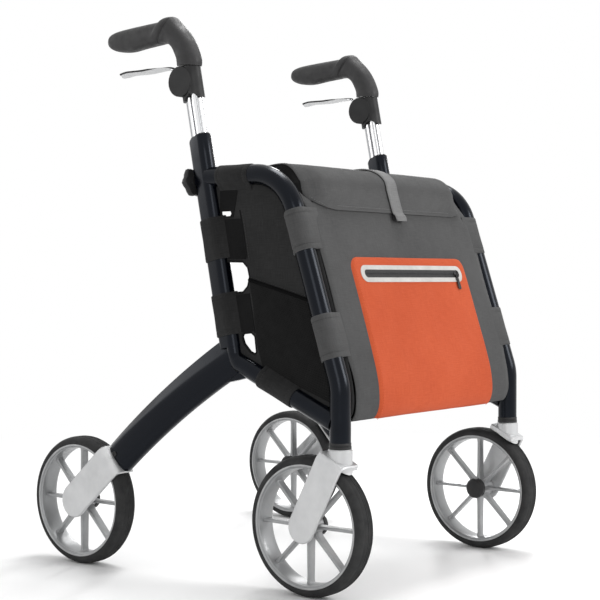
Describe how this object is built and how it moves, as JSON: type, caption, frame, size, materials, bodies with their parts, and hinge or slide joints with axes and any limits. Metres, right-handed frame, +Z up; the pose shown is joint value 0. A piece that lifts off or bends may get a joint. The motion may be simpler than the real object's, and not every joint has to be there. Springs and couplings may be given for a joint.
{
  "type": "shopping rollator",
  "caption": "Folding rollator with a fabric shopping bag, curved rear legs, swivelling front casters and sprung brake levers.",
  "frame": {"origin": "on the floor at the centre of the footprint", "axes": "+Z up; the front, with the casters and the bag, faces -Y; the user's right side is at -X"},
  "size_m": [0.5812, 0.6268, 0.847],
  "materials": {
    "frame": "gloss",
    "silver": "satin",
    "chrome": "polished",
    "rim": "satin",
    "tyre": "matte",
    "black": "satin",
    "grip": "matte",
    "steel": "satin",
    "charcoal": "matte",
    "grey": "matte",
    "orange": "matte",
    "webbing": "matte"
  },
  "bodies": {
    "right_frame": {"right_front_tube": "frame", "right_rear_post": "frame", "right_lower_tube": "frame", "right_rear_leg": "frame", "right_rear_fork": "silver", "right_caster_bush": "black", "right_fold_bracket": "frame", "right_fold_saddle": "black", "right_side_panel": "charcoal", "right_rear_axle": "steel", "bag_shell": "grey", "pocket_panel": "orange"},
    "right_handle": {"right_handle_stem": "chrome", "right_brake_housing": "black", "right_lever_pin": "steel", "right_grip": "grip"},
    "right_lever": {"right_brake_lever": "silver"},
    "right_knob": {"right_height_knob": "black"},
    "right_caster": {"right_caster_fork": "silver", "right_caster_pin": "steel", "right_front_axle": "steel"},
    "right_front_wheel": {"right_front_tyre": "tyre", "right_front_rim": "rim", "right_front_hub_cap": "black"},
    "right_rear_wheel": {"right_rear_tyre": "tyre", "right_rear_rim": "rim", "right_rear_hub_cap": "black"},
    "right_shoe": {"right_brake_shoe": "tyre"},
    "left_frame": {"left_front_tube": "frame", "left_rear_post": "frame", "left_lower_tube": "frame", "left_rear_leg": "frame", "left_rear_fork": "silver", "left_caster_bush": "black", "left_fold_bracket": "frame", "left_fold_saddle": "black", "left_side_panel": "charcoal", "left_rear_axle": "steel"},
    "left_handle": {"left_handle_stem": "chrome", "left_brake_housing": "black", "left_lever_pin": "steel", "left_grip": "grip"},
    "left_lever": {"left_brake_lever": "silver"},
    "left_knob": {"left_height_knob": "black"},
    "left_caster": {"left_caster_fork": "silver", "left_caster_pin": "steel", "left_front_axle": "steel"},
    "left_front_wheel": {"left_front_tyre": "tyre", "left_front_rim": "rim", "left_front_hub_cap": "black"},
    "left_rear_wheel": {"left_rear_tyre": "tyre", "left_rear_rim": "rim", "left_rear_hub_cap": "black"},
    "left_shoe": {"left_brake_shoe": "tyre"},
    "lid_flap": {"lid": "grey", "lid_strap": "webbing", "strap_clip": "black"},
    "right_bar": {"right_cross_bar": "black", "centre_pin": "steel"},
    "left_bar": {"left_cross_bar": "black"}
  },
  "joints": [
    {"name": "right_bar_turn", "type": "hinge", "parent": "right_frame", "child": "right_bar", "pos_m": [-0.201, -0.104, 0.315], "axis": [0, -0.9912, 0.1323], "range_deg": [0, 47.5]},
    {"name": "left_bar_turn", "type": "hinge", "parent": "right_bar", "child": "left_bar", "pos_m": [0, -0.08765, 0.4375], "axis": [0, -0.9912, 0.1323], "range_deg": [-95, 0]},
    {"name": "fold", "type": "hinge", "parent": "left_bar", "child": "left_frame", "pos_m": [0.201, -0.104, 0.315], "axis": [0, -0.9912, 0.1323], "range_deg": [0, 47.5], "deforming": ["bag_shell", "pocket_panel", "lid", "lid_strap", "strap_clip"]},
    {"name": "lid_hinge", "type": "hinge", "parent": "right_frame", "child": "lid_flap", "pos_m": [0, -0.085, 0.603], "axis": [-1, 0, 0], "range_deg": [0, 110]},
    {"name": "right_handle_slide", "type": "slide", "parent": "right_frame", "child": "right_handle", "axis": [0, 0.1961, 0.9806], "range_m": [-0.03, 0.09]},
    {"name": "right_lever_squeeze", "type": "hinge", "parent": "right_handle", "child": "right_lever", "pos_m": [-0.231, 0.028, 0.7455], "axis": [1, 0, 0], "range_deg": [0, 14], "stiffness_Nm_per_rad": 2, "springref_deg": -14.32},
    {"name": "right_shoe_push", "type": "slide", "parent": "right_frame", "child": "right_shoe", "axis": [0, 0.7482, -0.6635], "range_m": [0, 0.0024]},
    {"name": "right_knob_turn", "type": "hinge", "parent": "right_frame", "child": "right_knob", "pos_m": [-0.231, -0.0126, 0.5975], "axis": [0, 0.9806, -0.1961], "range_deg": [0, 270]},
    {"name": "right_caster_swivel", "type": "hinge", "parent": "right_frame", "child": "right_caster", "pos_m": [-0.231, -0.2645, 0.212], "axis": [0, 0, 1], "continuous": true},
    {"name": "right_front_roll", "type": "hinge", "parent": "right_caster", "child": "right_front_wheel", "pos_m": [-0.231, -0.2134, 0.1], "axis": [1, 0, 0], "continuous": true},
    {"name": "right_rear_roll", "type": "hinge", "parent": "right_frame", "child": "right_rear_wheel", "pos_m": [-0.2656, 0.2134, 0.1], "axis": [1, 0, 0], "continuous": true},
    {"name": "left_handle_slide", "type": "slide", "parent": "left_frame", "child": "left_handle", "axis": [0, 0.1961, 0.9806], "range_m": [-0.03, 0.09]},
    {"name": "left_lever_squeeze", "type": "hinge", "parent": "left_handle", "child": "left_lever", "pos_m": [0.231, 0.028, 0.7455], "axis": [1, 0, 0], "range_deg": [0, 14], "stiffness_Nm_per_rad": 2, "springref_deg": -14.32},
    {"name": "left_shoe_push", "type": "slide", "parent": "left_frame", "child": "left_shoe", "axis": [0, 0.7482, -0.6635], "range_m": [0, 0.0024]},
    {"name": "left_knob_turn", "type": "hinge", "parent": "left_frame", "child": "left_knob", "pos_m": [0.231, -0.0126, 0.5975], "axis": [0, 0.9806, -0.1961], "range_deg": [0, 270]},
    {"name": "left_caster_swivel", "type": "hinge", "parent": "left_frame", "child": "left_caster", "pos_m": [0.231, -0.2645, 0.212], "axis": [0, 0, 1], "continuous": true},
    {"name": "left_front_roll", "type": "hinge", "parent": "left_caster", "child": "left_front_wheel", "pos_m": [0.231, -0.2134, 0.1], "axis": [1, 0, 0], "continuous": true},
    {"name": "left_rear_roll", "type": "hinge", "parent": "left_frame", "child": "left_rear_wheel", "pos_m": [0.2656, 0.2134, 0.1], "axis": [1, 0, 0], "continuous": true}
  ],
  "couplings": [
    {"joint": "right_bar_turn", "follows": "fold", "ratio": 1},
    {"joint": "left_bar_turn", "follows": "fold", "ratio": -2},
    {"joint": "right_shoe_push", "follows": "right_lever_squeeze", "m_per_rad": 0.0098},
    {"joint": "left_shoe_push", "follows": "left_lever_squeeze", "m_per_rad": 0.0098}
  ]
}
